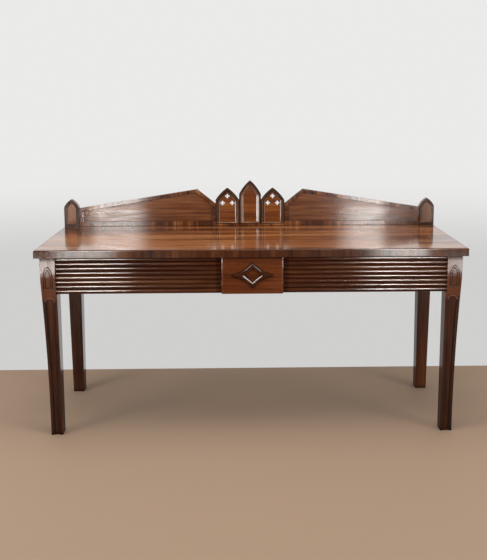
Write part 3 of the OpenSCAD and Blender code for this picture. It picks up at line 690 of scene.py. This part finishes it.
# Cards: name, axis they are square to, place on it, the two spans, strength
CARDS = (
    ("left_glow", "y", NEAR_ROW, (LEFT_GLOW_X, GLOW_Z), 8),
    ("right_glow", "y", NEAR_ROW, (RIGHT_GLOW_X, GLOW_Z), 8),
    ("left_upper", "y", NEAR_ROW, (LEFT_GLOW_X, UPPER_Z), 23),
    ("right_upper", "y", NEAR_ROW, (RIGHT_GLOW_X, UPPER_Z), 24),
    ("left_bright", "y", FAR_ROW, (LEFT_BRIGHT_X, BRIGHT_Z), 95),
    ("right_bright", "y", FAR_ROW, (RIGHT_BRIGHT_X, BRIGHT_Z), 125),
    ("left_edge", "y", NEAR_ROW, (LEFT_EDGE_X, EDGE_Z), 13),
    ("right_edge", "y", NEAR_ROW, (RIGHT_EDGE_X, EDGE_Z), 17.5),
    ("left_low", "y", MIDDLE_ROW, (LEFT_LOW_X, LEFT_LOW_Z), 28),
    ("right_low", "y", MIDDLE_ROW, (RIGHT_LOW_X, RIGHT_LOW_Z), 20),
    ("left_post", "y", MIDDLE_ROW, (LEFT_POST_X, POST_Z), 1.5),
    ("right_post", "y", NEAR_ROW, (RIGHT_POST_X, POST_Z), 0.8),
    ("left_splay", "x", -SIDE_ROW, (SPLAY_Y, SPLAY_Z), 40),
    ("right_splay", "x", SIDE_ROW, (SPLAY_Y, SPLAY_Z), 8),
    ("left_tablet", "x", -SIDE_ROW, (TABLET_Y, TABLET_Z), 30),
    ("right_tablet", "x", SIDE_ROW, (TABLET_Y, TABLET_Z), 30),
    ("left_high", "x", -HIGH_ROW, (HIGH_Y, HIGH_Z), 16),
    ("right_high", "x", HIGH_ROW, (HIGH_Y, HIGH_Z), 16),
)


def sheet(name, corners, material):
    """A flat stage piece."""
    bm = bmesh.new()
    bm.faces.new([bm.verts.new(corner) for corner in corners])
    mesh = bpy.data.meshes.new(name)
    bm.to_mesh(mesh)
    bm.free()
    mesh.materials.append(material)
    obj = bpy.data.objects.new(name, mesh)
    bpy.context.scene.collection.objects.link(obj)
    return obj


def floor():
    """Pale floor, darker where polish mirrors it."""
    (x0, y0), (x1, y1) = FLOOR
    f = Finish("pale_floor")
    mirrored = f.node("ShaderNodeLightPath").outputs["Is Glossy Ray"]
    colour = f.blend(mirrored, tint(FLOOR_TINT), tint(FLOOR_MIRRORED))
    shader = f.node("ShaderNodeBsdfPrincipled", {}, {"Base Color": colour, "Roughness": FLOOR_ROUGH})
    sheet("floor", ((x0, y0, 0), (x1, y0, 0), (x1, y1, 0), (x0, y1, 0)), f.surface(shader))


def card(name, axis, place, spans, level):
    """A light that only polish mirrors, square to an axis."""
    letters = CARD_AXES[axis]
    f = Finish(name)
    point = f.node("ShaderNodeTexCoord").outputs["Object"]
    where = f.node("ShaderNodeSeparateXYZ", {}, {0: point})
    mask = 1
    for letter, (start, full, fade, end) in zip(letters, spans):
        along = Value(f, where.outputs[letter])
        mask = along.between(start, full) * (1 - along.between(fade, end)) * mask
    colour = f.blend(mask, CARD_BLACK, CARD_COLOUR)
    light = f.node("ShaderNodeEmission", {}, {"Color": colour, "Strength": level})
    corners = []
    for a, b in ((0, 0), (-1, 0), (-1, -1), (0, -1)):
        at = {axis.upper(): place, letters[0]: spans[0][a], letters[1]: spans[1][b]}
        corners.append((at["X"], at["Y"], at["Z"]))
    obj = sheet(name, corners, f.surface(light))
    for kind in ("camera", "diffuse", "transmission", "volume_scatter", "shadow"):
        setattr(obj, "visible_" + kind, False)


def studio_world():
    """Pale studio: bright above and behind the table, dim behind the camera."""
    f = Finish("studio", bpy.data.worlds.new("studio"))
    bpy.context.scene.world = f.owner
    way = f.node("ShaderNodeTexCoord").outputs["Generated"]
    parts = f.node("ShaderNodeSeparateXYZ", {}, {0: way})
    rise = Value(f, parts.outputs["Z"])
    back = Value(f, parts.outputs["Y"]).between(*BACK_RANGE)
    path = f.node("ShaderNodeLightPath").outputs
    level = LIGHT_LOW + rise.between(*RISE_RANGE) * LIGHT_RISE
    right = Value(f, parts.outputs["X"]).between(*LEFT_RANGE)
    low_left = (1 - right) * (1 - rise.between(*LOW_RANGE))
    mirrored = MIRROR_FRONT + back * (1 - low_left * MIRROR_DIM) * MIRROR_BACK
    pale = PALE_LOW + rise.between(*HORIZON_RANGE) * PALE_RISE
    strength = level + (mirrored - level) * Value(f, path["Is Glossy Ray"])
    strength = strength + (pale - strength) * Value(f, path["Is Camera Ray"])
    light = f.node("ShaderNodeBackground", {}, {"Color": WORLD_COLOUR, "Strength": strength})
    f.node("ShaderNodeOutputWorld", {}, {"Surface": light.outputs[0]})


def lamp(name, at, aim, size, power):
    """An area lamp that neither the camera nor the polish sees."""
    data = bpy.data.lights.new(name, "AREA")
    data.shape = "RECTANGLE"
    data.size, data.size_y = size
    data.energy = power
    obj = bpy.data.objects.new(name, data)
    obj.location = at
    obj.rotation_mode = "QUATERNION"
    obj.rotation_quaternion = (Vector(aim) - Vector(at)).to_track_quat("-Z", "Y")
    obj.visible_camera = False
    obj.visible_glossy = False
    bpy.context.scene.collection.objects.link(obj)


def camera():
    """The fitted camera: its axes from yaw, tilt and roll, its shift from the axis's pixel."""
    level = math.cos(CAMERA_TILT)
    ahead = Vector((math.sin(CAMERA_YAW) * level, math.cos(CAMERA_YAW) * level, -math.sin(CAMERA_TILT)))
    right = Vector((math.cos(CAMERA_YAW), -math.sin(CAMERA_YAW), 0))
    down = ahead.cross(right)
    side = right * math.cos(CAMERA_ROLL) + down * math.sin(CAMERA_ROLL)
    fall = down * math.cos(CAMERA_ROLL) - right * math.sin(CAMERA_ROLL)
    data = bpy.data.cameras.new("camera")
    data.sensor_width = SENSOR_MM
    data.lens = FOCAL_PX / IMAGE_H * data.sensor_width
    data.shift_x = (IMAGE_W / 2 - AXIS_COLUMN) / IMAGE_H
    data.shift_y = (AXIS_ROW - IMAGE_H / 2) / IMAGE_H
    obj = bpy.data.objects.new("camera", data)
    turn = Matrix((side, -fall, -ahead)).transposed()
    obj.matrix_world = Matrix.Translation(CAMERA_AT) @ turn.to_4x4()
    bpy.context.scene.collection.objects.link(obj)
    bpy.context.scene.camera = obj


floor()
studio_world()
for name, settings in LAMPS.items():
    lamp(name, *settings)
for settings in CARDS:
    card(*settings)
camera()

bpy.context.scene.view_settings.view_transform = "Standard"
